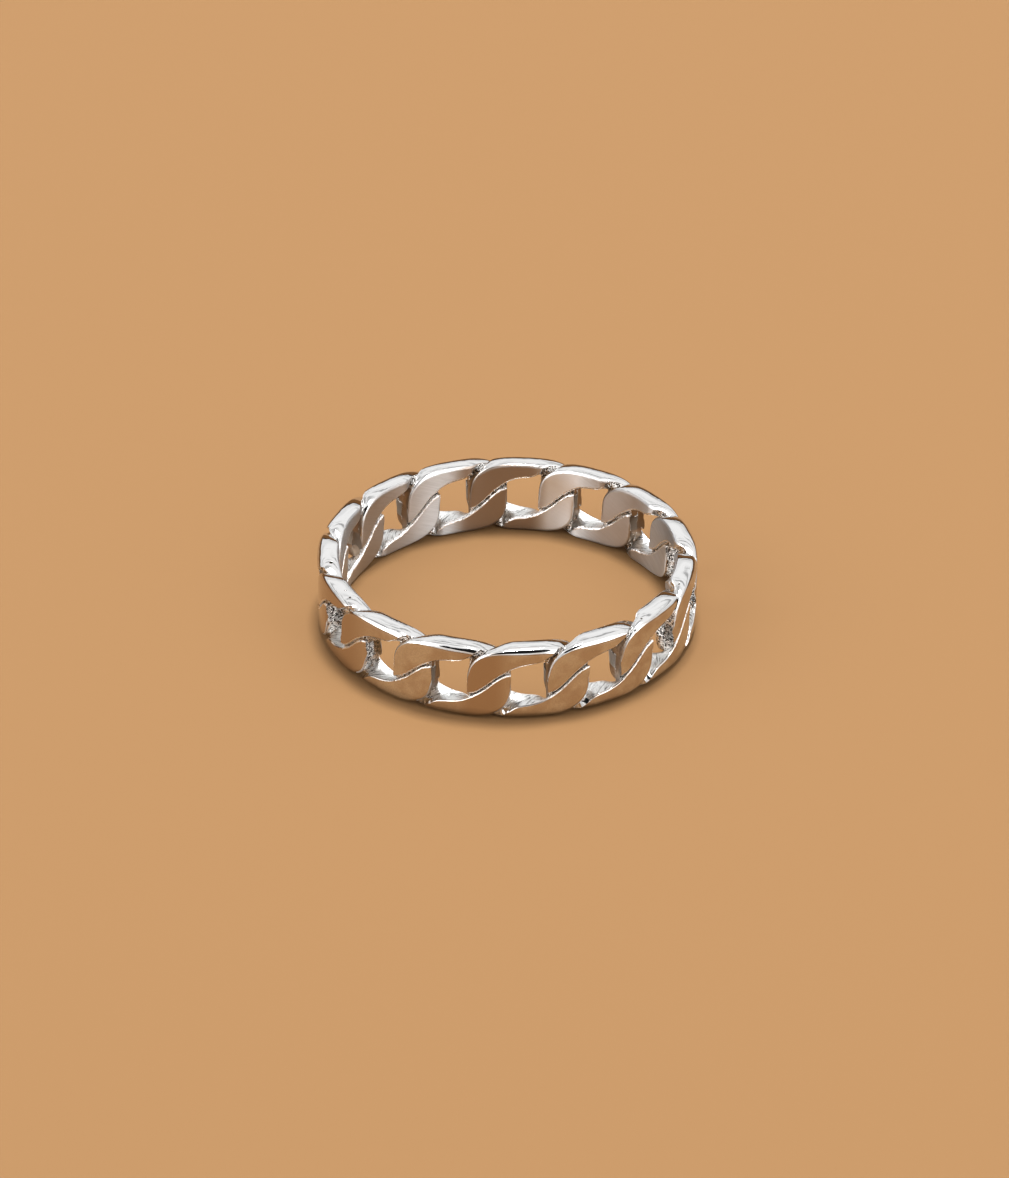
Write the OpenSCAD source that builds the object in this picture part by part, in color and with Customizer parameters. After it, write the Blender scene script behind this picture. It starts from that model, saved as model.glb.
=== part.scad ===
// Finger ring: a rigid band cast as a closed run of interlocked curb links.
// The band stands on its lower edge, the finger hollow runs along Z,
// and the origin is the middle of the plane that it rests on.

/* [Band] */
// Outer diameter across the polished outer faces
outer_d = 21; // [19:0.5:25]
// Wall from the outer face to the finger hollow
wall = 1.2; // [1.0:0.05:1.5]
// Height of the band along the finger
band_h = 4.4; // [3.8:0.1:5.2]
// Number of links round the band
link_count = 15; // [14:1:16]

/* [Link] */
// Half the length of a link, as a share of the pitch between links
link_reach = 0.775; // [0.75:0.005:0.79]
// Squareness of the link's outline, where 2 is an oval
outline_power = 3; // [2.6:0.1:3.4]
// Rounding of the outer rim of a link
outer_round = 0.42; // [0.25:0.01:0.45]
// Rounding of the finger side rim of a link
inner_round = 0.18; // [0.1:0.01:0.25]

/* [Joint] */
// Depth of the seams below the outer and inner faces
seam_depth = 0.24; // [0.15:0.01:0.35]
// Half the angle that the metal run into a joint fills, as a share of the pitch
fill_reach = 0.25; // [0.24:0.005:0.26]
// Height of the open ends of a joint above the filled metal
fill_gap = 0.42; // [0.3:0.01:0.6]

/* [Placing] */
// Angle of the link that faces the front, from the X axis
front_link = -83.3; // [-180:0.1:180]

/* [Hidden] */

pitch = 360 / link_count;
reach = pitch * link_reach;
mid_r = (outer_d - wall) / 2;
half_wall = wall / 2;
// Arch of a strand that is polished away, which leaves short flats on both rims
rim_flat = 0.035;

// Upper edge of the outer face of a lower strand: [place along the link, height share]
// The place runs from -1 at the left end to 1 at the tip of the right hook.
edge_table = [
    [-0.34, 0.102],
    [-0.29, 0.145],
    [-0.215, 0.182],
    [-0.11, 0.205],
    [0, 0.216],
    [0.11, 0.232],
    [0.215, 0.257],
    [0.32, 0.293],
    [0.43, 0.341],
    [0.54, 0.402],
    [0.645, 0.475],
    [0.75, 0.55],
    [0.86, 0.611],
    [1, 0.648]
];
// Left of this place the outer face is gone and the strand dives under its neighbour
dive_start = -0.34;
// Here the dive has used up the rim's rounding
dive_round = -0.5;
// Here the dive has reached the middle of the wall
dive_mid = -0.645;
// Widest angle of the rim's rounding, and the least that keeps a section sound
rim_turn = 84;
rim_least = 3;
// How far a buried half strand laps over the middle of the wall
lap = 0.1;
// Step from the rim of a dive to the foot of the ledge above it
dive_step = [-0.02, 0.03];
// The ledge is open up to the first place and packed with metal from the second
ledge_open = 0.36;
ledge_packed = 0.5;
// How far the packed ledge lies below the strand's higher edge
ledge_drop = 0.12;

function mix(a, b, f) = a + (b - a) * f;
function part_of(v, a, b) = max(0, min(1, (v - a) / (b - a)));

// Lower outline of a link, a superellipse with its lowest stretch polished flat
function foot(u) =
    let (rise = 1 - pow(max(0, 1 - pow(abs(u), outline_power)), 1 / outline_power))
    max(0, band_h / 2 * rise - rim_flat);

function edge_z(u) = band_h * lookup(u, edge_table);

// Angle of the rim's rounding that is left at a place, less along the dive
function turn(u) = mix(rim_least, rim_turn, part_of(u, dive_round, dive_start));

// How far the dive has drawn the rim back along the foot, from none to the middle
function drawn(u, round) = (half_wall - round + lap) * part_of(-u, -dive_round, -dive_mid);

// A point on the rounded rim, given as [distance from the middle of the wall, height]
function rim(u, round, f) =
    let (a = turn(u) * f)
    [half_wall - round + round * sin(a) - drawn(u, round), foot(u) + round * (1 - cos(a))];

// Top corner of one face of a lower strand
function corner(u, round) =
    u >= dive_start
        ? [half_wall, max(edge_z(u), foot(u) + round)]
        : rim(u, round, 1) + dive_step;

function flip(p) = [-p[0], p[1]];

// Ridge of the ledge between the two faces, which fills the joint where it is buried
function ledge(u) =
    let (
        o = corner(u, outer_round),
        i = flip(corner(-u, inner_round)),
        buried = part_of(abs(u), ledge_open, ledge_packed),
        open_mid = (o + i) / 2,
        packed = [sign(u) * -lap, max(o[1], i[1]) - ledge_drop]
    )
    mix(open_mid, packed, buried);

// Section of a lower strand, clockwise from the outer top corner
function section(u) = [
    corner(u, outer_round),
    rim(u, outer_round, 1),
    rim(u, outer_round, 0.5),
    rim(u, outer_round, 0),
    flip(rim(-u, inner_round, 0)),
    flip(rim(-u, inner_round, 1)),
    flip(corner(-u, inner_round)),
    ledge(u)
];

// Places of the sections from the middle of a strand to the tip of its hook
half_places = [0, 0.19, 0.345, 0.5, 0.66, 0.88, 0.995];
half_count = len(half_places);
stations = 2 * half_count - 1;
function place(k) =
    k < half_count ? -half_places[half_count - 1 - k] : half_places[k - half_count + 1];

function set_round(p, a) = [(mid_r + p[0]) * cos(a), (mid_r + p[0]) * sin(a), p[1]];

// One strand of a link, from the end buried on the outside to the tip of its outer hook
module strand() {
    sides = len(section(0));
    points = [
        for (k = [0 : stations - 1])
            for (p = section(place(k)))
                set_round(p, place(k) * reach)
    ];
    skin = [
        for (k = [0 : stations - 2])
            for (j = [0 : sides - 1])
                let (n = (j + 1) % sides, a = k * sides, b = a + sides)
                each [[a + j, b + n, a + n], [a + j, b + j, b + n]]
    ];
    first = [for (j = [0 : sides - 1]) j];
    last = [for (j = [sides - 1 : -1 : 0]) (stations - 1) * sides + j];
    polyhedron(points, concat([first], skin, [last]), convexity = 6);
}

// A link is two like strands, the upper one turned half round about the radial axis
module link() {
    strand();
    translate([0, 0, band_h]) rotate([180, 0, 0]) strand();
}

// Metal run into a joint between the hooks
module joint_fill() {
    rotate([0, 0, -pitch * fill_reach])
        rotate_extrude(angle = 2 * pitch * fill_reach)
            translate([mid_r - half_wall + seam_depth, fill_gap])
                square([wall - 2 * seam_depth, band_h - 2 * fill_gap]);
}

// The closed run of links as one casting, brought to the exact diameter and height
module curb_link_band() {
    color("silver")
        resize([outer_d, outer_d, band_h])
            union()
                for (k = [0 : link_count - 1]) {
                    rotate([0, 0, front_link + k * pitch]) link();
                    rotate([0, 0, front_link + (k + 0.5) * pitch]) joint_fill();
                }
}

curb_link_band();
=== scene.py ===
import math

import bmesh
import bpy
import numpy as np
from mathutils import Matrix, Vector, noise


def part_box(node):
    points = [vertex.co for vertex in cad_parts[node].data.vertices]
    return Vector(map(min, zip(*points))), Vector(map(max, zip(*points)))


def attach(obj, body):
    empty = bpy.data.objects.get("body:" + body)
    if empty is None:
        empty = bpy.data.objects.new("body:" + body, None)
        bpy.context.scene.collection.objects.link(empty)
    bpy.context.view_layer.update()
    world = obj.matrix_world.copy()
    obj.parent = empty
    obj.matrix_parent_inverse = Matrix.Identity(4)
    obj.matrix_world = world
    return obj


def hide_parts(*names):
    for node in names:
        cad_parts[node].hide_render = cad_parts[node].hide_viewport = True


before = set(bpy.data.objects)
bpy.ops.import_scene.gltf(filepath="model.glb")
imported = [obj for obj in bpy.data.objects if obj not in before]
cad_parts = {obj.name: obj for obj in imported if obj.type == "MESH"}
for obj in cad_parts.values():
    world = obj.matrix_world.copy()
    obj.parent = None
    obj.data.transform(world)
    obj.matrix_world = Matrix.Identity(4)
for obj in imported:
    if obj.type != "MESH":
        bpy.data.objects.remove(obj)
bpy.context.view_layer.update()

# All shapes below are worked out in millimetres and scaled to metres at the end.
MM = 0.001

# Band
NODE = "curb_link_band"
low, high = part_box(NODE)
OUTER_R = (high.x - low.x) / 2 / MM
BAND_H = (high.z - low.z) / MM
WALL = 1.2
HALF_WALL = WALL / 2
MID_R = OUTER_R - HALF_WALL
LINKS = 15
PITCH = 360 / LINKS
# Angle of the link that faces the front, from the X axis
FRONT_LINK = -83.3

# Link: half its length as a share of the pitch, and in degrees. Along it u runs from -1 to 1.
LINK_SHARE = 0.775
REACH = PITCH * LINK_SHARE
# Squareness of a link's outline, where 2 is an oval
OUTLINE_POWER = 3
# The last section of a strand is this near to the link's end
TIP = 0.995

# Rims: their rounding outside and on the finger side
OUTER_ROUND = 0.42
INNER_ROUND = 0.18
# The rims narrow towards the hooks' tips: place along the hook, greatest rounding there
HOOK_ROUND = ((0, 0.42), (0.25, 0.36), (0.5, 0.25), (0.75, 0.2), (1, 0.16))
# A hook's rim takes up no more than this share of its face, which counts as at least this high
RIM_SHARE = 0.93
LEAST_FACE = 0.1
# Arch of the polished lower and upper rims: slope at its edges in degrees, and rise
CROWN = 13
CROWN_RISE = 0.04
# The polished rims' normals lean away more towards their ends: degrees, and where along the link
END_DIP = 6
DIP_REACH = (0.25, 0.5)

# Upper edge of the outer face of a lower strand: place along the link, share of the height
EDGE_TABLE = (
    (-0.34, 0.102), (-0.29, 0.145), (-0.215, 0.182), (-0.11, 0.205), (0, 0.216),
    (0.11, 0.232), (0.215, 0.257), (0.32, 0.293), (0.43, 0.341), (0.54, 0.402),
    (0.645, 0.475), (0.75, 0.55), (0.86, 0.611), (1, 0.648),
)
# Along the hooks the edges stand above the table, which keeps the seams tight: how far they do, and
# over which places this grows
SEAM_CLOSE = 0.045
SEAM_CLOSE_REACH = (0.25, 0.45)
# Least height of a face's upper edge above its rim
LEAST_LIP = 0.03
# Bevel of the faces' upper edges, outside and on the finger side. It is least where the dive starts,
# and whole this much further along the link.
OUTER_BEVEL = 0.1
INNER_BEVEL = 0.15
LEAST_BEVEL = 0.004
BEVEL_REACH = 0.06

# Dive: from here on a strand has no face and passes under its neighbour
DIVE_START = -0.34
# Here the rim has lost its rounding, but for an angle a little over the crown's, in degrees
DIVE_ROUND = -0.5
LEAST_TURN = CROWN + 3
# Where in a dive the rim draws in. It does so more slowly on the finger side, which gives the rims
# their arched outline.
OUTER_DRAW = (0.52, 0.7)
INNER_DRAW = (0.22, 0.7)
# How far a buried half strand laps over the middle of the wall
LAP = 0.1

# Ledge over a strand: open up to the first place, and packed with metal from the second
LEDGE_OPEN = 0.36
LEDGE_PACKED = 0.5
# Groove behind a packed ledge's high corner: its depth, and the share of the ledge that it falls over
GROOVE = 0.24
GROOVE_EDGE = 0.15

# The last sections at both ends of a strand draw in a little, which breaks the hooks' end edges:
# how far, the share of that for each section, and the least distance from the section's middle
END_INSET = 0.03
INSET_SHARES = ((0, 1.0), (1, 0.35), (-1, 1.0), (-2, 0.35))
LEAST_OUT = 0.05

# Metal in the joints: half the angle that it fills, its depth behind the links' lower and upper
# outlines and behind their faces, and half the width over which it crosses from one link's outline
# to the other's
FILL_HALF = 6.25
FILL_DEPTH = 0.13
FILL_SINK = 0.2
FILL_CROSSING = 0.08

# Cast grain: size of its beads and how far it lifts the surface
LEDGE_GRAIN = 0.16
LEDGE_LIFT = 0.022
FILL_GRAIN = 0.15
FILL_LIFT = 0.045
# The ledges' grain loses this share over these places, where they are packed
LEDGE_GRAIN_LOSS = 0.6
LEDGE_GRAIN_REACH = (0.45, 0.6)
# The grain is a level less the distance to the nearest bead, with a slow and a fine noise added:
# the level, the weights, and the size of both noises beside the beads
GRAIN_LEVEL = 0.9
BEAD_WEIGHT = 1.7
SLOW_WEIGHT = 0.9
FINE_WEIGHT = 0.35
SLOW_SIZE = 5
FINE_SIZE = 0.6
# Each strand and each joint has its own grain, numbered from here
LOWER_SEED = 10.0
UPPER_SEED = 40.0
FILL_SEED = 70.0

# Fineness of the mesh: steps along in millimetres, and strips over each part of a section
STATION_STEP = 0.072
FILL_STEP = 0.075
BEVEL_STEPS = 2
OUTER_STEPS = 8
INNER_STEPS = 4
LEDGE_STEPS = 9
FOOT_STEPS = 2
# Points on a link's outline, for its length and for distances from it
LENGTH_POINTS = 4001
DISTANCE_POINTS = 1201
# Below these a length and a lean count as nothing
TINY = 1e-12
NO_LEAN = 1e-6

# Zones of the surface, which become material slots
POLISHED, SATIN, ROUGH, LEDGE, WALL_END, BEADED = range(6)
# The foot of a dive is polished on the lower strands and rough on the upper ones: its zone until
# then, where it is, and how many strips of the ledge it takes
RAMP_ZONE = 6
RAMP = (-0.6, -0.3)
RAMP_STRIPS = 2
# From here on the upper edge of an outer hook is beaded
HOOK_BEADS_FROM = 0.32
# From here on the rim of an outer hook is rubbed dull, over the strips next to its foot
RUBBED_FROM = 0.72
RUBBED_STRIPS = 3
# From here on a link's outline is the end wall of a hole
WALL_FROM = 0.9


def part_of(v, a, b):
    """How far v is on its way from a to b, from 0 to 1."""
    return np.clip((v - a) / (b - a), 0, 1)


def smooth_part(v, a, b):
    t = part_of(v, a, b)
    return t * t * (3 - 2 * t)


def mix(a, b, f):
    return a + (b - a) * f


def edge_height(u):
    """Height of the upper edge of a lower strand's face, as a smooth curve through EDGE_TABLE."""
    x, y = np.transpose(EDGE_TABLE)
    slope = np.gradient(y, x)
    u = np.clip(u, x[0], x[-1])
    i = np.clip(np.searchsorted(x, u) - 1, 0, len(x) - 2)
    w = x[i + 1] - x[i]
    t = (u - x[i]) / w
    h00, h10 = 2 * t**3 - 3 * t**2 + 1, t**3 - 2 * t**2 + t
    h01, h11 = -2 * t**3 + 3 * t**2, t**3 - t**2
    height = BAND_H * (h00 * y[i] + h10 * w * slope[i] + h01 * y[i + 1] + h11 * w * slope[i + 1])
    return height + SEAM_CLOSE * smooth_part(u, *SEAM_CLOSE_REACH)


def foot(u):
    """Lower outline of a link, a superellipse."""
    rise = 1 - np.maximum(0, 1 - np.abs(u) ** OUTLINE_POWER) ** (1 / OUTLINE_POWER)
    return BAND_H / 2 * rise


def along_mm(u):
    return np.radians(u * REACH) * MID_R


def stations():
    """Places of the sections along a strand, about evenly spaced along its outline."""
    fine = np.sin(np.linspace(-math.pi / 2, math.pi / 2, LENGTH_POINTS)) * TIP
    steps = np.hypot(np.diff(along_mm(fine)), np.diff(foot(fine)))
    length = np.concatenate([[0], np.cumsum(steps)])
    count = int(round(length[-1] / STATION_STEP))
    return np.interp(np.linspace(0, length[-1], count + 1), length, fine)


def outline_distance(x, z):
    """Distance of points in the unrolled wall from a link's lower outline, the outline's outward
    normal at the nearest place, and that place along the link."""
    u = np.sin(np.linspace(-math.pi / 2, math.pi / 2, DISTANCE_POINTS))
    ox, oz = along_mm(u), foot(u)
    sx, sz = np.gradient(ox), np.gradient(oz)
    length = np.hypot(sx, sz)
    gap = np.hypot(x[..., None] - ox, z[..., None] - oz)
    nearest = gap.argmin(axis=-1)
    return gap.min(axis=-1), (sz / length)[nearest], (-sx / length)[nearest], u[nearest]


def rounded_face(x, z, radius):
    """How far the rounded face lies from the middle of the wall, and its normal as radial, along and
    upward parts."""
    d, out_x, out_z, place = outline_distance(x, z)
    r = np.minimum(radius, np.interp(place, *np.transpose(HOOK_ROUND)))
    lean = np.clip((r - d) / r, 0, 1)
    radial = np.sqrt(1 - lean * lean)
    return HALF_WALL - r + r * radial, (radial, lean * out_x, lean * out_z)


def side(v, radius, steps, draw, bevel):
    """One side of a lower strand, from the upper end of its face's bevel down to the foot.

    v is the place along the link, with the dive at negative v. Gives arrays of distance from the
    middle of the wall, height, and the normal's radial, along and upward parts, by station and point.
    """
    crown = math.radians(CROWN)
    turn = np.radians(mix(LEAST_TURN, 90, part_of(v, DIVE_ROUND, DIVE_START)))[:, None]
    drawn = ((HALF_WALL - radius + LAP) * smooth_part(-v, *draw))[:, None]
    ground = foot(v)[:, None]
    hook = (v > 0)[:, None]
    slope = np.gradient(foot(v), along_mm(v))
    steep = np.sqrt(1 + slope * slope)[:, None]
    top = edge_height(v)[:, None]

    a = mix(turn, crown, np.linspace(0, 1, steps + 1)[None, :])
    rise = radius * (math.cos(crown) - np.cos(a)) + CROWN_RISE
    whole = radius * math.cos(crown) + CROWN_RISE
    most = np.maximum(top - ground, LEAST_FACE) * RIM_SHARE / whole
    rim_z = ground + rise * np.where(hook, np.minimum(steep, most), 1)
    plain_x = HALF_WALL - radius + radius * np.sin(a)
    place_x = along_mm(v)[:, None] + 0 * a
    hook_x, hook_n = rounded_face(place_x, rim_z - (whole - radius), radius)
    rim_x = np.where(hook, np.minimum(plain_x.max(), hook_x), plain_x) - drawn
    rim_n = [np.where(hook, h, p) for h, p in zip(hook_n, (np.sin(a), 0 * a, -np.cos(a)))]

    least = rim_z[:, :1] + LEAST_LIP
    lip = np.where(v[:, None] >= DIVE_START, np.maximum(top, least), least)
    lip_x = np.where(hook, rounded_face(place_x[:, :1], lip, radius)[0] - drawn, rim_x[:, :1])
    width = bevel * part_of(v, DIVE_START, DIVE_START + BEVEL_REACH)[:, None] + LEAST_BEVEL
    b = np.radians(np.linspace(0, 90, BEVEL_STEPS + 1))[None, :]
    bevel_x = lip_x - width + width * np.sin(b)
    bevel_z = lip - width + width * np.cos(b)
    # The normals stay upright longer than the bevel does, and turn over the same quarter.
    late = b ** 1.5 / math.sqrt(math.pi / 2)
    bevel_n = (np.sin(late) + 0 * bevel_x, 0 * bevel_x, np.cos(late) + 0 * bevel_x)

    rho = np.concatenate([bevel_x, rim_x], axis=1)
    z = np.concatenate([bevel_z, rim_z], axis=1)
    normal = np.stack([np.concatenate([bn, rn], axis=1) for bn, rn in zip(bevel_n, rim_n)], axis=-1)
    return rho, z, normal


def ledge_line(u, inner, outer, t):
    """Points over the top of a strand, from its inner corner to its outer one. Where the ledge is
    packed it rises from its low corner and ends in a groove behind its high one."""
    (ix, iz), (ox, oz) = inner, outer
    t = t[None, :]
    open_x, open_z = mix(ix, ox, t), mix(iz, oz, t)
    outer_high = (u > 0)[:, None]
    s = np.where(outer_high, t, 1 - t)
    low_x, low_z = np.where(outer_high, ix, ox), np.where(outer_high, iz, oz)
    high_x, high_z = np.where(outer_high, ox, ix), np.where(outer_high, oz, iz)
    mid_x = (-np.sign(u) * LAP)[:, None]
    mid_z = np.maximum(high_z - GROOVE, low_z)
    pack_x = np.where(s < 0.5, mix(low_x, mid_x, s * 2), mix(mid_x, high_x, s * 2 - 1))
    pack_z = np.where(s < 0.5, mix(low_z, mid_z, s * 2),
                      mix(high_z, mid_z, smooth_part(1 - s, 0, GROOVE_EDGE)))
    buried = smooth_part(np.abs(u), LEDGE_OPEN, LEDGE_PACKED)[:, None]
    return mix(open_x, pack_x, buried), mix(open_z, pack_z, buried)


def strand_zones(u, outer_strips):
    """Zone of each patch of a lower strand: first its outer side, then its foot, its finger side
    and its ledge."""
    row = [POLISHED] * (outer_strips + FOOT_STEPS + 1)
    row += [SATIN] * INNER_STEPS + [BEADED] * BEVEL_STEPS + [ROUGH] * LEDGE_STEPS
    at = u[:-1]
    zones = np.tile(row, (len(at), 1))
    zones[np.abs(at) < LEDGE_OPEN, -LEDGE_STEPS:] = LEDGE
    zones[at > HOOK_BEADS_FROM, :BEVEL_STEPS] = BEADED
    zones[(at > RAMP[0]) & (at < RAMP[1]), -RAMP_STRIPS:] = RAMP_ZONE
    zones[at > RUBBED_FROM, outer_strips - RUBBED_STRIPS:outer_strips] = SATIN
    zones[np.abs(at) > WALL_FROM, outer_strips - 1:outer_strips + FOOT_STEPS] = WALL_END
    return zones


def strand_sections():
    """Sections of a lower strand with outward normals, and the zone of each patch between points."""
    u = stations()
    orho, oz, on = side(u, OUTER_ROUND, OUTER_STEPS, OUTER_DRAW, OUTER_BEVEL)
    irho, iz, inn = side(-u, INNER_ROUND, INNER_STEPS, INNER_DRAW, INNER_BEVEL)
    irho, iz, inn = -irho[:, ::-1], iz[:, ::-1], inn[:, ::-1] * (-1, -1, 1)
    f = np.linspace(0, 1, FOOT_STEPS + 1)[None, 1:-1]
    foot_x = mix(orho[:, -1:], irho[:, :1], f)
    foot_z = mix(oz[:, -1:], iz[:, :1], f) - CROWN_RISE * 4 * f * (1 - f)
    lean = np.radians(CROWN) * (1 - 2 * f) + 0 * foot_x
    foot_n = np.stack([np.sin(lean), 0 * foot_x, -np.cos(lean)], axis=-1)
    t = np.linspace(0, 1, LEDGE_STEPS + 1)
    lx, lz = ledge_line(u, (irho[:, -1:], iz[:, -1:]), (orho[:, :1], oz[:, :1]), t)
    ledge_n = np.zeros(lx[:, 1:-1].shape + (3,)) + (0, 0, 1)
    rho = np.concatenate([orho, foot_x, irho, lx[:, 1:-1]], axis=1)
    z = np.concatenate([oz, foot_z, iz, lz[:, 1:-1]], axis=1)
    normal = np.concatenate([on, foot_n, inn, ledge_n], axis=1)
    return u, rho, z, normal, strand_zones(u, orho.shape[1] - 1)


def set_round(rho, angle, z):
    r = MID_R + rho
    return np.stack([r * np.cos(angle), r * np.sin(angle), z], axis=-1)


def unit(v):
    return v / np.maximum(np.linalg.norm(v, axis=-1, keepdims=True), TINY)


def rot_z(degrees):
    a = math.radians(degrees)
    return np.array([[math.cos(a), -math.sin(a), 0], [math.sin(a), math.cos(a), 0], [0, 0, 1]])


def grain(points, size, seed):
    """Cast grain at some points: small round beads over a slow rise and fall, about -1 to 1."""
    out = np.empty(len(points))
    for i, p in enumerate(points):
        q = Vector(p) + Vector((seed, 0, 0))
        bead = noise.voronoi(q / size)[0][0]
        slow = noise.noise(q / (size * SLOW_SIZE))
        fine = noise.noise(q / (size * FINE_SIZE))
        out[i] = GRAIN_LEVEL - BEAD_WEIGHT * bead + SLOW_WEIGHT * slow + FINE_WEIGHT * fine
    return out


def grid_normals(points, closed):
    """Normals of a displaced grid, by station and point, with the points running clockwise."""
    along = np.gradient(points, axis=0)
    if closed:
        across = (np.roll(points, -1, axis=1) - np.roll(points, 1, axis=1)) / 2
    else:
        across = np.gradient(points, axis=1)
    return unit(np.cross(across, along))


def add_shell(parts, points, corner_normals, zones):
    """Adds a closed tube with flat ends. corner_normals has a normal at both sides of each strip."""
    rows, sides = points.shape[:2]
    left, right = corner_normals
    faces, normals, face_zone = [], [], []
    index = np.arange(rows * sides).reshape(rows, sides)
    for j in range(sides):
        n = (j + 1) % sides
        a, b = index[:-1, j], index[:-1, n]
        c, d = index[1:, n], index[1:, j]
        faces.append(np.stack([a, b, c, d], axis=1))
        normals.append(np.stack([left[:-1, j], right[:-1, j], right[1:, j], left[1:, j]], axis=1))
        face_zone.append(zones[:, j])
    ends = []
    for row, next_row, order in ((0, 1, -1), (-1, -2, 1)):
        step = points[next_row] - points[row]
        ends.append((index[row][::order].tolist(), unit(-step.mean(axis=0))))
    parts.append((points.reshape(-1, 3), np.concatenate(faces), np.concatenate(normals),
                  np.concatenate(face_zone), ends))


def drawn_in_ends(rho, z):
    """A strand's sections with the last ones at both ends a little smaller."""
    rho, z = rho.copy(), z.copy()
    for row, share in INSET_SHARES:
        mid_x, mid_z = rho[row].mean(), z[row].mean()
        out = np.maximum(np.hypot(rho[row] - mid_x, z[row] - mid_z), LEAST_OUT)
        shrink = 1 - END_INSET * share / out
        rho[row] = mid_x + (rho[row] - mid_x) * shrink
        z[row] = mid_z + (z[row] - mid_z) * shrink
    return rho, z


# All strands have the same sections.
SECTIONS = strand_sections()


def strand_mesh(parts, turned, angle, seed):
    """One strand of a link: the lower one, or the upper one, turned half round about the radial axis."""
    u, rho, z, lean, zones = SECTIONS
    rho, z = drawn_in_ends(rho, z)
    theta = np.radians(u * REACH)[:, None] + 0 * rho
    points = set_round(rho, theta, z)
    radial = np.stack([np.cos(theta), np.sin(theta), 0 * theta], axis=-1)
    forward = np.stack([-np.sin(theta), np.cos(theta), 0 * theta], axis=-1)
    upward = np.zeros_like(points)
    upward[..., 2] = 1
    hooked = radial * lean[..., :1] + forward * lean[..., 1:2] + upward * lean[..., 2:]
    along = unit(np.gradient(points, axis=0))
    hooked = unit(hooked - along * (hooked * along).sum(axis=-1, keepdims=True))
    plain = unit(np.cross(radial * lean[..., 2:] - upward * lean[..., :1], along))
    dip = np.sign(u) * math.tan(math.radians(END_DIP)) * smooth_part(np.abs(u), *DIP_REACH)
    plain = unit(plain + along * dip[:, None, None] * lean[..., 2:] ** 2)
    normal = np.where(np.abs(lean[..., 1:2]) > NO_LEAN, hooked, plain)
    if turned:
        zones = np.where(zones == RAMP_ZONE, ROUGH, zones)
        half_turn = np.diag([1.0, -1.0, -1.0])
        points = points @ half_turn + np.array([0, 0, BAND_H])
        normal = normal @ half_turn
    spin = rot_z(angle)
    points = points @ spin.T
    normal = normal @ spin.T

    sides = points.shape[1]
    ledge = np.r_[sides - LEDGE_STEPS:sides, 0]
    patch = points[:, ledge]
    rough_normal = grid_normals(patch, False)
    fade = np.sin(np.linspace(0, math.pi, LEDGE_STEPS + 1)) ** 0.5
    shown = 1 - LEDGE_GRAIN_LOSS * part_of(np.abs(u), *LEDGE_GRAIN_REACH)
    lift = grain(patch.reshape(-1, 3), LEDGE_GRAIN, seed).reshape(patch.shape[:2])
    patch = patch + rough_normal * (LEDGE_LIFT * lift * fade[None, :] * shown[:, None])[..., None]
    points[:, ledge[1:-1]] = patch[:, 1:-1]
    rough_normal = grid_normals(patch, False)

    left, right = normal.copy(), np.roll(normal, -1, axis=1)
    left[:, ledge[:-1]] = rough_normal[:, :-1]
    right[:, ledge[:-1]] = rough_normal[:, 1:]
    add_shell(parts, points, (left, right), np.where(zones == RAMP_ZONE, POLISHED, zones))


def fill_limit(rho, z, phi):
    """Holds the joint's metal below the rounded rims of the links on both sides of the wall."""
    for face in (1, -1):
        radius = OUTER_ROUND if face > 0 else INNER_ROUND
        for upper in (False, True):
            turn = face * (-1 if upper else 1)
            x = np.radians(PITCH / 2 + turn * phi)[:, None] * MID_R + 0 * rho
            height = BAND_H - z if upper else z
            limit = rounded_face(x, height, radius)[0] - FILL_SINK
            rho = np.where(height < BAND_H / 2, face * np.minimum(face * rho, limit), rho)
    return rho


def fill_mesh(parts, angle, seed):
    """The rough metal run into a joint, which follows the outlines of the two links a little below
    them."""
    count = int(2 * math.radians(FILL_HALF) * MID_R / FILL_STEP)
    phi = np.linspace(-FILL_HALF, FILL_HALF, count + 1)
    rise = foot((PITCH / 2 + phi) / REACH)
    fall = foot((PITCH / 2 - phi) / REACH)
    reach = HALF_WALL - FILL_SINK
    tall = int((BAND_H - 2 * FILL_DEPTH) / FILL_STEP)
    wide = int(2 * reach / FILL_STEP)

    def bottom_at(x, low_outer, low_inner):
        crossed = smooth_part(x, -FILL_CROSSING, FILL_CROSSING)
        return mix(low_inner, low_outer, crossed) + FILL_DEPTH

    up = np.linspace(0, 1, tall + 1)[None, 1:-1]
    over = np.linspace(reach, -reach, wide + 1)[None, :]
    outer_hi = BAND_H - bottom_at(reach, fall, rise)[:, None]
    outer_lo = bottom_at(reach, rise, fall)[:, None]
    inner_hi = BAND_H - bottom_at(-reach, fall, rise)[:, None]
    inner_lo = bottom_at(-reach, rise, fall)[:, None]
    bottom = bottom_at(over, rise[:, None], fall[:, None])
    top = BAND_H - bottom_at(over, fall[:, None], rise[:, None])
    flat = np.zeros((len(phi), 1))
    rho = np.concatenate([reach + 0 * up + flat, over + flat, -reach + 0 * up + flat,
                          over[:, ::-1] + flat], axis=1)
    z = np.concatenate([mix(outer_hi, outer_lo, up), bottom, mix(inner_lo, inner_hi, up),
                        top[:, ::-1]], axis=1)
    rho = fill_limit(rho, z, phi)
    theta = np.radians(angle + phi)[:, None] + 0 * rho
    points = set_round(rho, theta, z)
    lift = grain(points.reshape(-1, 3), FILL_GRAIN, seed).reshape(rho.shape)
    points = points + grid_normals(points, True) * (FILL_LIFT * lift)[..., None]
    normal = grid_normals(points, True)
    zones = np.full((len(phi) - 1, rho.shape[1]), ROUGH)
    add_shell(parts, points, (normal, np.roll(normal, -1, axis=1)), zones)


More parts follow.
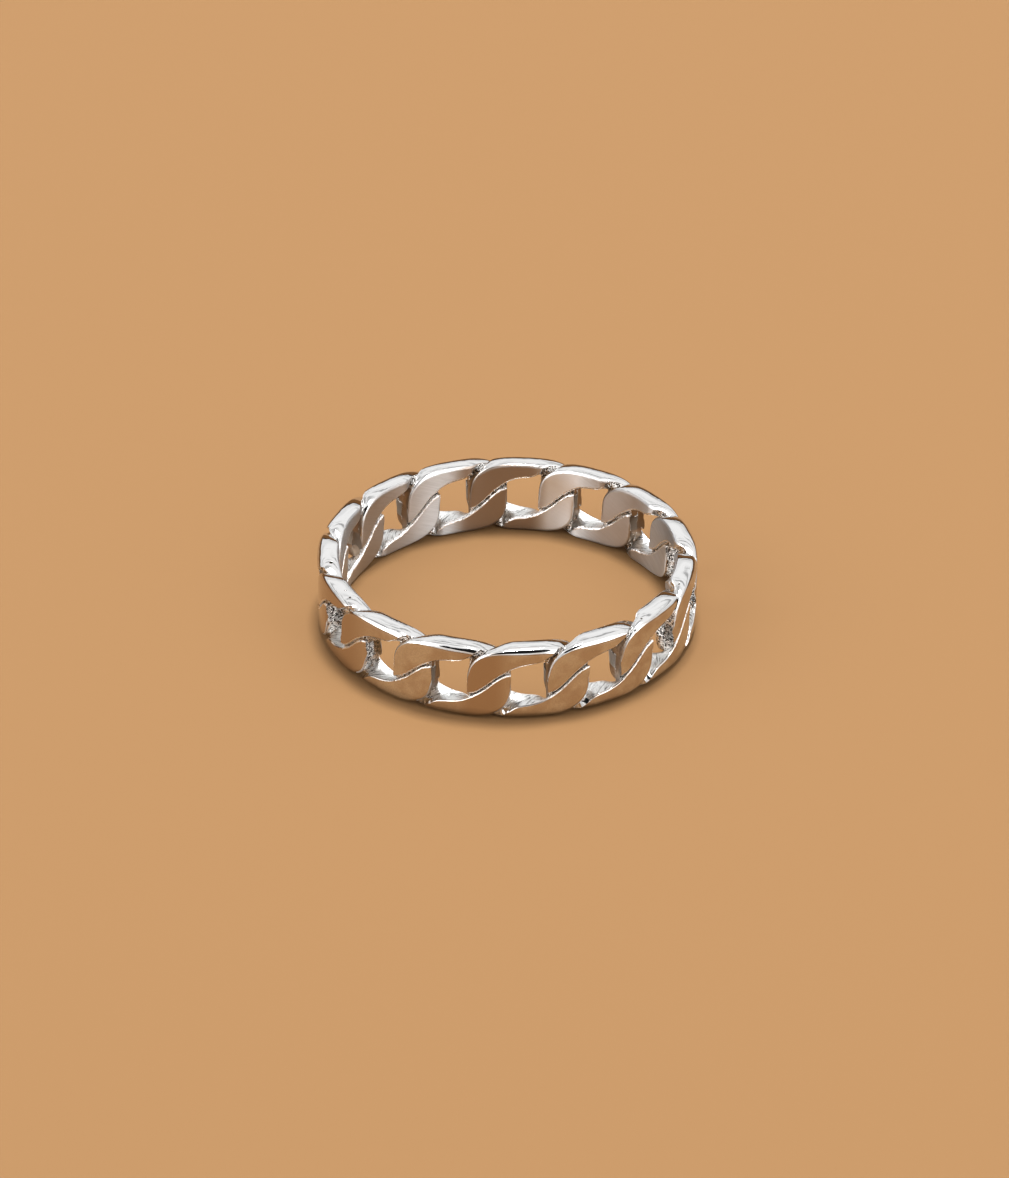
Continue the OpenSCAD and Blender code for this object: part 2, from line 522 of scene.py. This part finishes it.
def make_object(name, part):
    """A closed mesh with its zones and its exact normals as attributes, still in millimetres."""
    points, faces, normals, zones, ends = part
    mesh = bpy.data.meshes.new(name)
    polygons = faces.tolist() + [e[0] for e in ends]
    mesh.from_pydata(points.tolist(), [], polygons)
    zone = mesh.attributes.new("zone", "INT", "FACE")
    zone.data.foreach_set("value", np.concatenate([zones, [WALL_END] * len(ends)]).astype(np.int32))
    exact = [normals.reshape(-1, 3)] + [np.tile(flat, (len(ring), 1)) for ring, flat in ends]
    attribute = mesh.attributes.new("exact_normal", "FLOAT_VECTOR", "CORNER")
    attribute.data.foreach_set("vector", np.concatenate(exact).astype(np.float32).ravel())
    obj = bpy.data.objects.new(name, mesh)
    bpy.context.scene.collection.objects.link(obj)
    return obj


def fuse(parts):
    """Joins all the closed parts into one skin, which keeps their zones and exact normals."""
    objects = [make_object(f"part_{i}", p) for i, p in enumerate(parts)]
    tools = bpy.data.collections.new("tools")
    bpy.context.scene.collection.children.link(tools)
    for o in objects[1:]:
        tools.objects.link(o)
    band = objects[0]
    union = band.modifiers.new("union", "BOOLEAN")
    union.operation = "UNION"
    union.operand_type = "COLLECTION"
    union.collection = tools
    union.solver = "MANIFOLD"
    bpy.context.view_layer.objects.active = band
    bpy.ops.object.modifier_apply(modifier=union.name)
    for o in objects[1:]:
        bpy.data.objects.remove(o)
    bpy.data.collections.remove(tools)
    return band


def on_outer_skin(mesh):
    """Says for each vertex whether it is on the outer skin, and not round a closed space inside."""
    parent = np.arange(len(mesh.vertices))
    edges = np.empty(len(mesh.edges) * 2, np.int32)
    mesh.edges.foreach_get("vertices", edges)
    edges = edges.reshape(-1, 2)
    while True:
        low_side = np.minimum(parent[edges[:, 0]], parent[edges[:, 1]])
        before = parent.copy()
        np.minimum.at(parent, edges[:, 0], low_side)
        np.minimum.at(parent, edges[:, 1], low_side)
        parent = parent[parent]
        if (parent == before).all():
            break
    names, sizes = np.unique(parent, return_counts=True)
    return parent == names[sizes.argmax()]


def finish_mesh(band):
    """Leaves only the outer skin, and gives it its materials, its exact normals and its real size."""
    mesh = band.data
    keep = on_outer_skin(mesh)
    if not keep.all():
        work = bmesh.new()
        work.from_mesh(mesh)
        work.verts.ensure_lookup_table()
        gone = [work.verts[i] for i in np.nonzero(~keep)[0]]
        bmesh.ops.delete(work, geom=gone, context="VERTS")
        work.to_mesh(mesh)
        work.free()
    exact = np.empty(len(mesh.loops) * 3, np.float32)
    mesh.attributes["exact_normal"].data.foreach_get("vector", exact)
    exact = unit(exact.reshape(-1, 3))
    zone = np.empty(len(mesh.polygons), np.int32)
    mesh.attributes["zone"].data.foreach_get("value", zone)
    mesh.attributes.remove(mesh.attributes["exact_normal"])
    mesh.attributes.remove(mesh.attributes["zone"])
    mesh.materials.clear()
    for material in (polished_silver(), satin_silver(), cast_silver(), ledge_silver(), wall_silver(),
                     beaded_silver()):
        mesh.materials.append(material)
    mesh.polygons.foreach_set("material_index", zone)
    mesh.polygons.foreach_set("use_smooth", np.ones(len(mesh.polygons), bool))
    mesh.transform(Matrix.Scale(MM, 4))
    mesh.normals_split_custom_set(exact.tolist())
    mesh.update()


# Nodes
def new_material(name):
    mat = bpy.data.materials.new(name)
    mat.use_nodes = True
    nodes = mat.node_tree.nodes
    nodes.clear()
    shader = nodes.new("ShaderNodeBsdfPrincipled")
    out = nodes.new("ShaderNodeOutputMaterial")
    mat.node_tree.links.new(shader.outputs[0], out.inputs[0])
    return mat, mat.node_tree, shader


def new_metal(name):
    mat, tree, shader = new_material(name)
    shader.inputs["Metallic"].default_value = 1
    return mat, tree, shader


def put(tree, socket, value):
    """Links a socket to another one, or sets its value."""
    if isinstance(value, bpy.types.NodeSocket):
        tree.links.new(value, socket)
    else:
        socket.default_value = value


def math_node(tree, operation, *values):
    node = tree.nodes.new("ShaderNodeMath")
    node.operation = operation
    for socket, value in zip(node.inputs, values):
        put(tree, socket, value)
    return node.outputs[0]


def times(tree, a, b):
    return math_node(tree, "MULTIPLY", a, b)


def minus(tree, a, b):
    return math_node(tree, "SUBTRACT", a, b)


def square_sum(tree, a, b):
    return math_node(tree, "ADD", times(tree, a, a), times(tree, b, b))


def away_from(tree, value, middle):
    """How far a value is from a middle one, on either side."""
    return math_node(tree, "ABSOLUTE", minus(tree, value, middle))


def ranged(tree, value, from_low, from_high, to_low, to_high, kind="LINEAR"):
    """A value carried over from one range to another and held at its ends."""
    node = tree.nodes.new("ShaderNodeMapRange")
    node.interpolation_type = kind
    for socket, v in zip(node.inputs, (value, from_low, from_high, to_low, to_high)):
        put(tree, socket, v)
    return node.outputs[0]


def eased(tree, value, *ranges):
    """The same along a smooth curve."""
    return ranged(tree, value, *ranges, kind="SMOOTHSTEP")


def parts_of(tree, vector):
    node = tree.nodes.new("ShaderNodeSeparateXYZ")
    tree.links.new(vector, node.inputs[0])
    return node.outputs


def combined(tree, x, y, z):
    node = tree.nodes.new("ShaderNodeCombineXYZ")
    for socket, value in zip(node.inputs, (x, y, z)):
        put(tree, socket, value)
    return node.outputs[0]


def scaled(tree, vector, x, y, z):
    node = tree.nodes.new("ShaderNodeVectorMath")
    node.operation = "MULTIPLY"
    put(tree, node.inputs[0], vector)
    node.inputs[1].default_value = (x, y, z)
    return node.outputs[0]


def object_mm(tree):
    place = tree.nodes.new("ShaderNodeTexCoord").outputs["Object"]
    return scaled(tree, place, 1 / MM, 1 / MM, 1 / MM)


def band_axes(tree):
    """Sockets for the distance round the band, the distance from its axis and the height, all in
    millimetres. The distance round is nothing at the right and grows towards the back."""
    place = tree.nodes.new("ShaderNodeTexCoord").outputs["Object"]
    x, y, z = parts_of(tree, place)
    turn = math_node(tree, "ARCTAN2", y, x)
    flat = math_node(tree, "SQRT", square_sum(tree, x, y))
    return (times(tree, turn, MID_R), math_node(tree, "DIVIDE", flat, MM),
            math_node(tree, "DIVIDE", z, MM))


def noise_at(tree, vector, scale, detail, rough):
    node = tree.nodes.new("ShaderNodeTexNoise")
    put(tree, node.inputs["Vector"], vector)
    node.inputs["Scale"].default_value = scale
    node.inputs["Detail"].default_value = detail
    node.inputs["Roughness"].default_value = rough
    return node.outputs["Fac"]


def stretched_noise(tree, vector, scales, detail, rough):
    """Noise with its own scale along each of a vector's three parts."""
    return noise_at(tree, scaled(tree, vector, *scales), 1.0, detail, rough)


def bump(tree, height, depth, under=None):
    """A bump of the given depth in millimetres, over another bump's normal if there is one."""
    node = tree.nodes.new("ShaderNodeBump")
    node.inputs["Strength"].default_value = 1
    node.inputs["Distance"].default_value = depth * MM
    put(tree, node.inputs["Height"], height)
    if under is not None:
        put(tree, node.inputs["Normal"], under)
    return node.outputs["Normal"]


def colour_mix(tree, factor, a, b):
    node = tree.nodes.new("ShaderNodeMix")
    node.data_type = "RGBA"
    put(tree, node.inputs["Factor"], factor)
    sockets = [i for i in node.inputs if i.type == "RGBA"]
    put(tree, sockets[0], a)
    put(tree, sockets[1], b)
    return [o for o in node.outputs if o.type == "RGBA"][0]


# Materials. Each noise is given by its scale, or its three scales, its detail and its roughness, and
# each bump by its depth in millimetres.
# Where the values of a fine noise and of a slow one mostly lie
FINE_SPAN = (0.3, 0.7)
SLOW_SPAN = (0.35, 0.65)
# Colour of the hollows in rough metal
HOLLOW_TONE = (0.05, 0.042, 0.035, 1)

# Polished metal
POLISH_WAVES = ((0.5, 1.4, 0.6), 1.0, 0.4)
POLISH_STREAKS = ((0.6, 4.5, 1.2), 2.0, 0.55)
POLISH_LINES = ((1.2, 14.0, 14.0), 2.0, 0.6)
POLISH_MOTTLE = (12.0, 3.0, 0.65)
POLISH_CLOUD = (0.9, 2.0, 0.6)
WAVE_DEPTH = 0.03
STREAK_DEPTH = 0.006
LINE_DEPTH = 0.0008
MOTTLE_DEPTH = 0.0009
POLISH_ROUGHNESS = (0.045, 0.09)
POLISH_TONES = ((0.6, 0.595, 0.59, 1), (0.75, 0.735, 0.725, 1))
MOTTLE_SPAN = (0.4, 0.62)
# How far inside the outer radius the faces' mottle and painted floor reflection begin, and where
# they are whole
FACE_DEPTH = (0.14, 0.05)
# Painted reflection of the brown floor on the outer faces, a warmer and darker tone: the tone, its
# strength in their clouds, and in the places where it is strongest: distance round the band and half
# the width there, and the share of that with full tone
FLOOR_REFLECTION_TONE = (0.47, 0.385, 0.32, 1)
CLOUD_STRENGTH = 0.6
TONED_STRENGTH = 0.95
TONED_PLACES = ((-16.8, 2.1), (-26.6, 4.8))
TONED_WHOLE = 0.25
# Small pits in the polished rims: the middle of each in millimetres, and its radius
PITS = (
    (-9.678, -1.403, 4.38, 0.12),
    (-8.39, -5.715, 4.36, 0.09),
    (7.254, -6.996, 4.36, 0.08),
    (9.375, -3.428, 4.36, 0.08),
    (-8.793, -4.39, 4.36, 0.07),
    (-8.534, -5.048, 4.36, 0.07),
    (-10.005, -0.678, 4.3, 0.06),
    (3.1, 9.4, 4.37, 0.05),
)
PIT_DEPTH = 0.05
PIT_TONE = (0.03, 0.028, 0.025, 1)
# Share of a pit's radius that is its flat bottom
PIT_BOTTOM = 0.6


def pits_at(tree, place):
    """One inside the pits and nothing elsewhere, for a place in millimetres."""
    total = None
    for x, y, z, radius in PITS:
        node = tree.nodes.new("ShaderNodeVectorMath")
        node.operation = "DISTANCE"
        put(tree, node.inputs[0], place)
        node.inputs[1].default_value = (x, y, z)
        pit = eased(tree, node.outputs["Value"], radius * PIT_BOTTOM, radius, 1, 0)
        total = pit if total is None else math_node(tree, "MAXIMUM", total, pit)
    return total


def polished_silver():
    """Mirror finish with the slow waves that hand polishing leaves, faint lines, a fine mottle and a
    few pits, and on the outer faces a painted reflection of the brown floor in clouds and patches."""
    mat, tree, shader = new_metal("polished_silver")
    round_way, out_way, up_way = band_axes(tree)
    place = combined(tree, round_way, out_way, up_way)
    waves = stretched_noise(tree, place, *POLISH_WAVES)
    streaks = stretched_noise(tree, place, *POLISH_STREAKS)
    lines = stretched_noise(tree, place, *POLISH_LINES)
    on_face = ranged(tree, out_way, OUTER_R - FACE_DEPTH[0], OUTER_R - FACE_DEPTH[1], 0, 1)
    mottle = times(tree, on_face, noise_at(tree, place, *POLISH_MOTTLE))
    pit = pits_at(tree, object_mm(tree))
    normal = bump(tree, waves, WAVE_DEPTH)
    normal = bump(tree, streaks, STREAK_DEPTH, normal)
    normal = bump(tree, lines, LINE_DEPTH, normal)
    normal = bump(tree, mottle, MOTTLE_DEPTH, normal)
    normal = bump(tree, minus(tree, 1, pit), PIT_DEPTH, normal)
    put(tree, shader.inputs["Normal"], normal)
    put(tree, shader.inputs["Roughness"], ranged(tree, lines, *FINE_SPAN, *POLISH_ROUGHNESS))
    # Painted reflection of the brown floor: the outer faces take a warmer, darker tone in clouds and in
    # a few places
    cloud = noise_at(tree, place, *POLISH_CLOUD)
    painted_reflection = eased(tree, cloud, *SLOW_SPAN, CLOUD_STRENGTH, 0)
    for middle, half in TONED_PLACES:
        away = away_from(tree, round_way, middle)
        near = eased(tree, away, half * TONED_WHOLE, half, TONED_STRENGTH, 0)
        painted_reflection = math_node(tree, "MAXIMUM", painted_reflection, near)
    painted_reflection = times(tree, on_face, painted_reflection)
    metal = colour_mix(tree, ranged(tree, mottle, *MOTTLE_SPAN, 0, 1), *POLISH_TONES)
    metal = colour_mix(tree, painted_reflection, metal, FLOOR_REFLECTION_TONE)
    put(tree, shader.inputs["Base Color"], colour_mix(tree, pit, metal, PIT_TONE))
    return mat


# Brushed metal
BRUSH = ((0.7, 13.0, 1.0), 3.0, 0.65)
BRUSH_PATCHES = ((0.16, 0.3, 0.3), 1.0, 0.5)
BRUSH_DEPTH = 0.0035
# Climb of the brush's lines in degrees
BRUSH_CLIMB = 24
# How far the brush stretches highlights, and which way, in turns
BRUSH_STRETCH = 0.9
BRUSH_TURN = 0.25
BRUSH_ROUGHNESS = (0.34, 0.46)
BRUSH_TONES = ((0.49, 0.5, 0.51, 1), (0.6, 0.615, 0.63, 1))
# Where wear leaves the finger side smoother and painted shade makes it darker: distance round the band
# in millimetres, how far from there both are whole and where they end, and their strength
WEAR_AND_SHADE_PLACES = ((16.1, 1.8, 3.2, 1.0), (24.0, 1.6, 4.2, 0.5), (8.2, 1.2, 3.0, 0.6))
PAINTED_SHADE_TONE = (0.34, 0.285, 0.245, 1)
WORN_ROUGHNESS = 0.3
# Painted sheen where the finger side is brightest, given likewise
PAINTED_SHEEN_PLACE = (12.3, 0.7, 2.0, 0.7)
PAINTED_SHEEN_TONE = (0.88, 0.89, 0.9, 1)


def spot(tree, round_way, middle, whole, end, strength):
    """A value that has its full strength near a place round the band and fades to nothing."""
    return eased(tree, away_from(tree, round_way, middle), whole, end, strength, 0)


def satin_silver():
    """Brushed finish of the finger side. The brush runs round the band, so it spreads light up and
    down, and its fine lines climb slowly. A few smoother places carry painted shade, and one a
    painted sheen."""
    mat, tree, shader = new_metal("satin_silver")
    shader.inputs["Anisotropic"].default_value = BRUSH_STRETCH
    shader.inputs["Anisotropic Rotation"].default_value = BRUSH_TURN
    tangent = tree.nodes.new("ShaderNodeTangent")
    tangent.direction_type = "RADIAL"
    tangent.axis = "Z"
    put(tree, shader.inputs["Tangent"], tangent.outputs[0])
    round_way, out_way, up_way = band_axes(tree)
    climb = math.tan(math.radians(BRUSH_CLIMB))
    across = minus(tree, up_way, times(tree, round_way, climb))
    place = combined(tree, round_way, across, out_way)
    brush = stretched_noise(tree, place, *BRUSH)
    patches = stretched_noise(tree, place, *BRUSH_PATCHES)
    put(tree, shader.inputs["Normal"], bump(tree, brush, BRUSH_DEPTH))
    # Places of wear and painted shade: smoother there, and darker in colour with painted shade
    wear_and_shade = None
    for worn_place in WEAR_AND_SHADE_PLACES:
        near = spot(tree, round_way, *worn_place)
        wear_and_shade = near if wear_and_shade is None else math_node(tree, "MAXIMUM", wear_and_shade, near)
    # Painted sheen: a paler tone where the finger side is brightest
    bright = spot(tree, round_way, *PAINTED_SHEEN_PLACE)
    roughness = ranged(tree, patches, *SLOW_SPAN, *BRUSH_ROUGHNESS)
    roughness = ranged(tree, wear_and_shade, 0, 1, roughness, WORN_ROUGHNESS)
    put(tree, shader.inputs["Roughness"], roughness)
    metal = colour_mix(tree, ranged(tree, brush, *FINE_SPAN, 0, 1), *BRUSH_TONES)
    metal = colour_mix(tree, bright, metal, PAINTED_SHEEN_TONE)
    # Painted shade: the darker tone in the places of wear
    put(tree, shader.inputs["Base Color"], colour_mix(tree, wear_and_shade, metal, PAINTED_SHADE_TONE))
    return mat


# Rough metal in the seams
CAST_BEADS = (9.0, 3.0, 0.6)
CAST_FINE = (24.0, 2.0, 0.6)
CAST_DEPTH = 0.05
CAST_FINE_DEPTH = 0.015
CAST_HOLLOWS = (0.44, 0.54)
CAST_TONE = (0.9, 0.89, 0.87, 1)
CAST_ROUGHNESS = (0.15, 0.35)


def cast_silver():
    """Rough metal of the seams: small beads with dark hollows between them."""
    mat, tree, shader = new_metal("cast_silver")
    place = object_mm(tree)
    beads = noise_at(tree, place, *CAST_BEADS)
    fine = noise_at(tree, place, *CAST_FINE)
    normal = bump(tree, beads, CAST_DEPTH)
    normal = bump(tree, fine, CAST_FINE_DEPTH, normal)
    put(tree, shader.inputs["Normal"], normal)
    hollows = eased(tree, beads, *CAST_HOLLOWS, 1, 0)
    put(tree, shader.inputs["Base Color"], colour_mix(tree, hollows, CAST_TONE, HOLLOW_TONE))
    put(tree, shader.inputs["Roughness"], ranged(tree, fine, *FINE_SPAN, *CAST_ROUGHNESS))
    return mat


# End walls of the holes
WALL_BEADS = (8.0, 3.0, 0.62)
WALL_DEPTH = 0.07
WALL_HOLLOWS = (0.42, 0.54)
# Painted shade: the dark brown of the walls away from the sides, in the brown of the shaded paper
WALL_SHADE_TONE = (0.23, 0.165, 0.11, 1)
WALL_CAST_TONE = (0.85, 0.84, 0.82, 1)
WALL_ROUGHNESS = (0.45, 0.2)
# How far to the left and right of the middle the walls begin to be as cast and where they wholly
# are, and how much of the grain is left nearer to the middle
CAST_FROM = (5.5, 7.5)
CAST_LEAST = 0.06
# Where the stretches that are as cast end at the back: distance behind the middle, and how much
# further back that is for each millimetre to the right, and to either side
CAST_BACK = (0.3, 1.3)
CAST_BACK_RIGHT = 0.35
CAST_BACK_ASIDE = 0.1


def wall_silver():
    """End walls of the holes: rough as cast at the sides, further back at the right than at the
    left, and dull and smooth elsewhere, with a dark brown colour there that is painted shade."""
    mat, tree, shader = new_metal("wall_silver")
    place = object_mm(tree)
    x, y, z = parts_of(tree, place)
    sideways = math_node(tree, "ABSOLUTE", x)
    behind = minus(tree, y, times(tree, x, CAST_BACK_RIGHT))
    behind = minus(tree, behind, times(tree, sideways, CAST_BACK_ASIDE))
    in_front = ranged(tree, behind, *CAST_BACK, 1, 0)
    as_cast = ranged(tree, times(tree, in_front, sideways), *CAST_FROM, CAST_LEAST, 1)
    beads = noise_at(tree, place, *WALL_BEADS)
    put(tree, shader.inputs["Normal"], bump(tree, times(tree, as_cast, beads), WALL_DEPTH))
    hollows = times(tree, as_cast, eased(tree, beads, *WALL_HOLLOWS, 1, 0))
    # Away from the sides the walls take the dark brown of painted shade
    metal = colour_mix(tree, as_cast, WALL_SHADE_TONE, WALL_CAST_TONE)
    put(tree, shader.inputs["Base Color"], colour_mix(tree, hollows, metal, HOLLOW_TONE))
    put(tree, shader.inputs["Roughness"], ranged(tree, as_cast, 0, 1, *WALL_ROUGHNESS))
    return mat


# Beaded edges
EDGE_BEADS = (7.5, 2.0, 0.6)
EDGE_DEPTH = 0.06
EDGE_HOLLOWS = (0.34, 0.47)
EDGE_TONE = (0.97, 0.96, 0.95, 1)
EDGE_HOLLOW_TONE = (0.3, 0.27, 0.24, 1)
EDGE_ROUGHNESS = 0.3


def beaded_silver():
    """Upper edges of the faces, on the finger side and on the outer hooks: a row of small bright
    beads."""
    mat, tree, shader = new_metal("beaded_silver")
    beads = noise_at(tree, object_mm(tree), *EDGE_BEADS)
    put(tree, shader.inputs["Normal"], bump(tree, beads, EDGE_DEPTH))
    hollows = eased(tree, beads, *EDGE_HOLLOWS, 1, 0)
    put(tree, shader.inputs["Base Color"], colour_mix(tree, hollows, EDGE_TONE, EDGE_HOLLOW_TONE))
    shader.inputs["Roughness"].default_value = EDGE_ROUGHNESS
    return mat


# Ledges in the holes
LEDGE_STREAKS = ((7.5, 2.4, 4.0), 4.0, 0.65)
LEDGE_FINE = ((14.0, 9.0, 9.0), 2.0, 0.6)
# How far round the band the streaks go for each millimetre towards the finger hollow
LEDGE_SLANT = 1.2
LEDGE_DEPTH = 0.022
LEDGE_FINE_DEPTH = 0.014
LEDGE_GREYS = (0.34, 0.5)
LEDGE_TONE = (0.72, 0.72, 0.71, 1)
LEDGE_GREY_TONE = (0.12, 0.117, 0.113, 1)
LEDGE_ROUGHNESS = (0.25, 0.42)


def ledge_silver():
    """The ledges in the holes: pale cast metal with soft grey streaks and a few hollows."""
    mat, tree, shader = new_metal("ledge_silver")
    round_way, out_way, up_way = band_axes(tree)
    slant = math_node(tree, "ADD", round_way, times(tree, out_way, LEDGE_SLANT))
    place = combined(tree, slant, out_way, up_way)
    streaks = stretched_noise(tree, place, *LEDGE_STREAKS)
    fine = stretched_noise(tree, place, *LEDGE_FINE)
    normal = bump(tree, streaks, LEDGE_DEPTH)
    normal = bump(tree, fine, LEDGE_FINE_DEPTH, normal)
    put(tree, shader.inputs["Normal"], normal)
    greys = eased(tree, streaks, *LEDGE_GREYS, 1, 0)
    put(tree, shader.inputs["Base Color"], colour_mix(tree, greys, LEDGE_TONE, LEDGE_GREY_TONE))
    put(tree, shader.inputs["Roughness"], ranged(tree, fine, *FINE_SPAN, *LEDGE_ROUGHNESS))
    return mat


# Build
parts = []
for k in range(LINKS):
    centre = FRONT_LINK + k * PITCH
    strand_mesh(parts, False, centre, LOWER_SEED + k)
    strand_mesh(parts, True, centre, UPPER_SEED + k)
for k in range(LINKS):
    fill_mesh(parts, FRONT_LINK + (k + 0.5) * PITCH, FILL_SEED + k)
band = fuse(parts)
band.name = "link_band"
band.data.name = "link_band"
finish_mesh(band)
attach(band, "root")
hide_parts(NODE)

# Floor, with its size in metres
FLOOR_SIZE = 3.0
FLOOR_TONE = (0.165, 0.087, 0.034, 1)
FLOOR_ROUGHNESS = 0.9
FLOOR_GLOSS = 0.2


def floor():
    mesh = bpy.data.meshes.new("floor")
    s = FLOOR_SIZE / 2
    mesh.from_pydata([(-s, -s, 0), (s, -s, 0), (s, s, 0), (-s, s, 0)], [], [(0, 1, 2, 3)])
    obj = bpy.data.objects.new("floor", mesh)
    bpy.context.scene.collection.objects.link(obj)
    mat, tree, shader = new_material("floor_paper")
    shader.inputs["Base Color"].default_value = FLOOR_TONE
    shader.inputs["Roughness"].default_value = FLOOR_ROUGHNESS
    shader.inputs["Specular IOR Level"].default_value = FLOOR_GLOSS
    mesh.materials.append(mat)


floor()

# A white tent round the object, over a sweep of brown paper, with a dark oval opening in front.
# Angles are in degrees: the azimuth from the front to the right, and the elevation.
PAPER_TOP = (11, 12)
PAPER_TONE = (0.3, 0.155, 0.06, 1)
# Behind the object the paper is darker and ends a little higher, below a dark gap
BEHIND = (105, 130)
PAPER_TOP_BEHIND = (12.5, 14)
PAPER_TONE_BEHIND = (0.17, 0.08, 0.03, 1)
GAP_TOP = (16, 17)
# The tent's cloth is a little darker below this height
WALL_TOP = (26, 30)
WALL_TONE = 0.85
# Folds in the tent's cloth
FOLDS = ((1.3, 1.3, 11.0), 1.0, 0.5)
FOLD_SPAN = (0.36, 0.5)
FOLD_TONE = 0.42
# Two brighter sides of the tent, left and right of the opening: the azimuth midway between them, how
# far from it they begin and end, up to where they reach, and how much light they add
SIDE_MIDDLE = -9
SIDE_FROM = (32, 44)
SIDE_TO = (72, 98)
SIDE_TOP = (50, 70)
SIDE_GAIN = 3.2
# The opening: elevation of its middle, its half sizes, how soft its edge is, and its own light
OPENING_HEIGHT = 61
OPENING_HALF_WIDTH = 52
OPENING_HALF_HEIGHT = 27
OPENING_EDGE = (0.93, 1.07)
DARK_TONE = 0.012
TENT_STRENGTH = 1.4
# A soft light high above and a little behind the object: place and side in metres, and power
KEY_PLACE = (0.045, 0.17, 1.09)
KEY_SIZE = 0.25
KEY_POWER = 25


def studio():
    """The light of the tent and of the paper, as the world round the object."""
    world = bpy.data.worlds.new("studio")
    bpy.context.scene.world = world
    world.use_nodes = True
    tree = world.node_tree
    background = tree.nodes["Background"]
    direction = tree.nodes.new("ShaderNodeTexCoord").outputs["Generated"]
    x, y, z = parts_of(tree, direction)
    turn = math_node(tree, "ARCTAN2", x, times(tree, y, -1))
    azimuth = math_node(tree, "DEGREES", turn)
    elevation = math_node(tree, "DEGREES", math_node(tree, "ARCSINE", z))
    behind = eased(tree, math_node(tree, "ABSOLUTE", azimuth), *BEHIND, 0, 1)
    gap = times(tree, behind, eased(tree, elevation, *GAP_TOP, 1, 0))

    cloth = eased(tree, elevation, *WALL_TOP, WALL_TONE, 1)
    folds = stretched_noise(tree, direction, *FOLDS)
    cloth = times(tree, cloth, eased(tree, folds, *FOLD_SPAN, FOLD_TONE, 1))
    aside = away_from(tree, azimuth, SIDE_MIDDLE)
    sides = times(tree, eased(tree, aside, *SIDE_FROM, 0, 1), eased(tree, aside, *SIDE_TO, 1, 0))
    sides = times(tree, sides, eased(tree, elevation, *SIDE_TOP, SIDE_GAIN, 0))
    cloth = times(tree, cloth, math_node(tree, "ADD", sides, 1))

    across = math_node(tree, "DIVIDE", azimuth, OPENING_HALF_WIDTH)
    tall = math_node(tree, "DIVIDE", minus(tree, elevation, OPENING_HEIGHT), OPENING_HALF_HEIGHT)
    closed = eased(tree, square_sum(tree, across, tall), *OPENING_EDGE, 0, 1)
    light = times(tree, cloth, times(tree, closed, minus(tree, 1, gap)))
    light = math_node(tree, "ADD", light, DARK_TONE)

    paper_round = eased(tree, elevation, *PAPER_TOP, 1, 0)
    paper_behind = eased(tree, elevation, *PAPER_TOP_BEHIND, 1, 0)
    paper = ranged(tree, behind, 0, 1, paper_round, paper_behind)
    tone = colour_mix(tree, behind, PAPER_TONE, PAPER_TONE_BEHIND)
    colour = colour_mix(tree, paper, combined(tree, light, light, light), tone)
    put(tree, background.inputs["Color"], colour)
    background.inputs["Strength"].default_value = TENT_STRENGTH


def key_light():
    data = bpy.data.lights.new("key_softbox", "AREA")
    data.shape = "SQUARE"
    data.size = KEY_SIZE
    data.energy = KEY_POWER
    obj = bpy.data.objects.new("key_softbox", data)
    bpy.context.scene.collection.objects.link(obj)
    obj.location = KEY_PLACE
    obj.rotation_euler = (-Vector(KEY_PLACE)).to_track_quat("-Z", "Y").to_euler()


studio()
key_light()
bpy.context.scene.view_settings.view_transform = "Standard"

# Camera, fitted to the ring's own circles in the photo: tilt down and roll, given in degrees, then
# distance from the origin and offsets from it in millimetres, and focal length in pixels
TILT = math.radians(31.73)
ROLL = math.radians(0.289)
DISTANCE = 276.12
SIDEWAYS = -0.147
UPWARDS = 1.547
FOCAL_PX = 4963.5
# The photo's height in pixels, which is its longer side
PHOTO_H = 1178
SENSOR = 36
CLIP_START = 0.01


def camera():
    forward = Vector((0, math.cos(TILT), -math.sin(TILT)))
    right = Vector((1, 0, 0))
    up = right.cross(forward)
    place = (-forward * DISTANCE + right * SIDEWAYS + up * UPWARDS) * MM
    data = bpy.data.cameras.new("camera")
    data.sensor_width = SENSOR
    data.lens = FOCAL_PX / PHOTO_H * SENSOR
    data.clip_start = CLIP_START
    obj = bpy.data.objects.new("camera", data)
    bpy.context.scene.collection.objects.link(obj)
    rolled_right = right * math.cos(ROLL) + up * math.sin(ROLL)
    rolled_up = up * math.cos(ROLL) - right * math.sin(ROLL)
    turn = Matrix((rolled_right, rolled_up, -forward)).transposed().to_4x4()
    obj.matrix_world = Matrix.Translation(place) @ turn
    bpy.context.scene.camera = obj


camera()
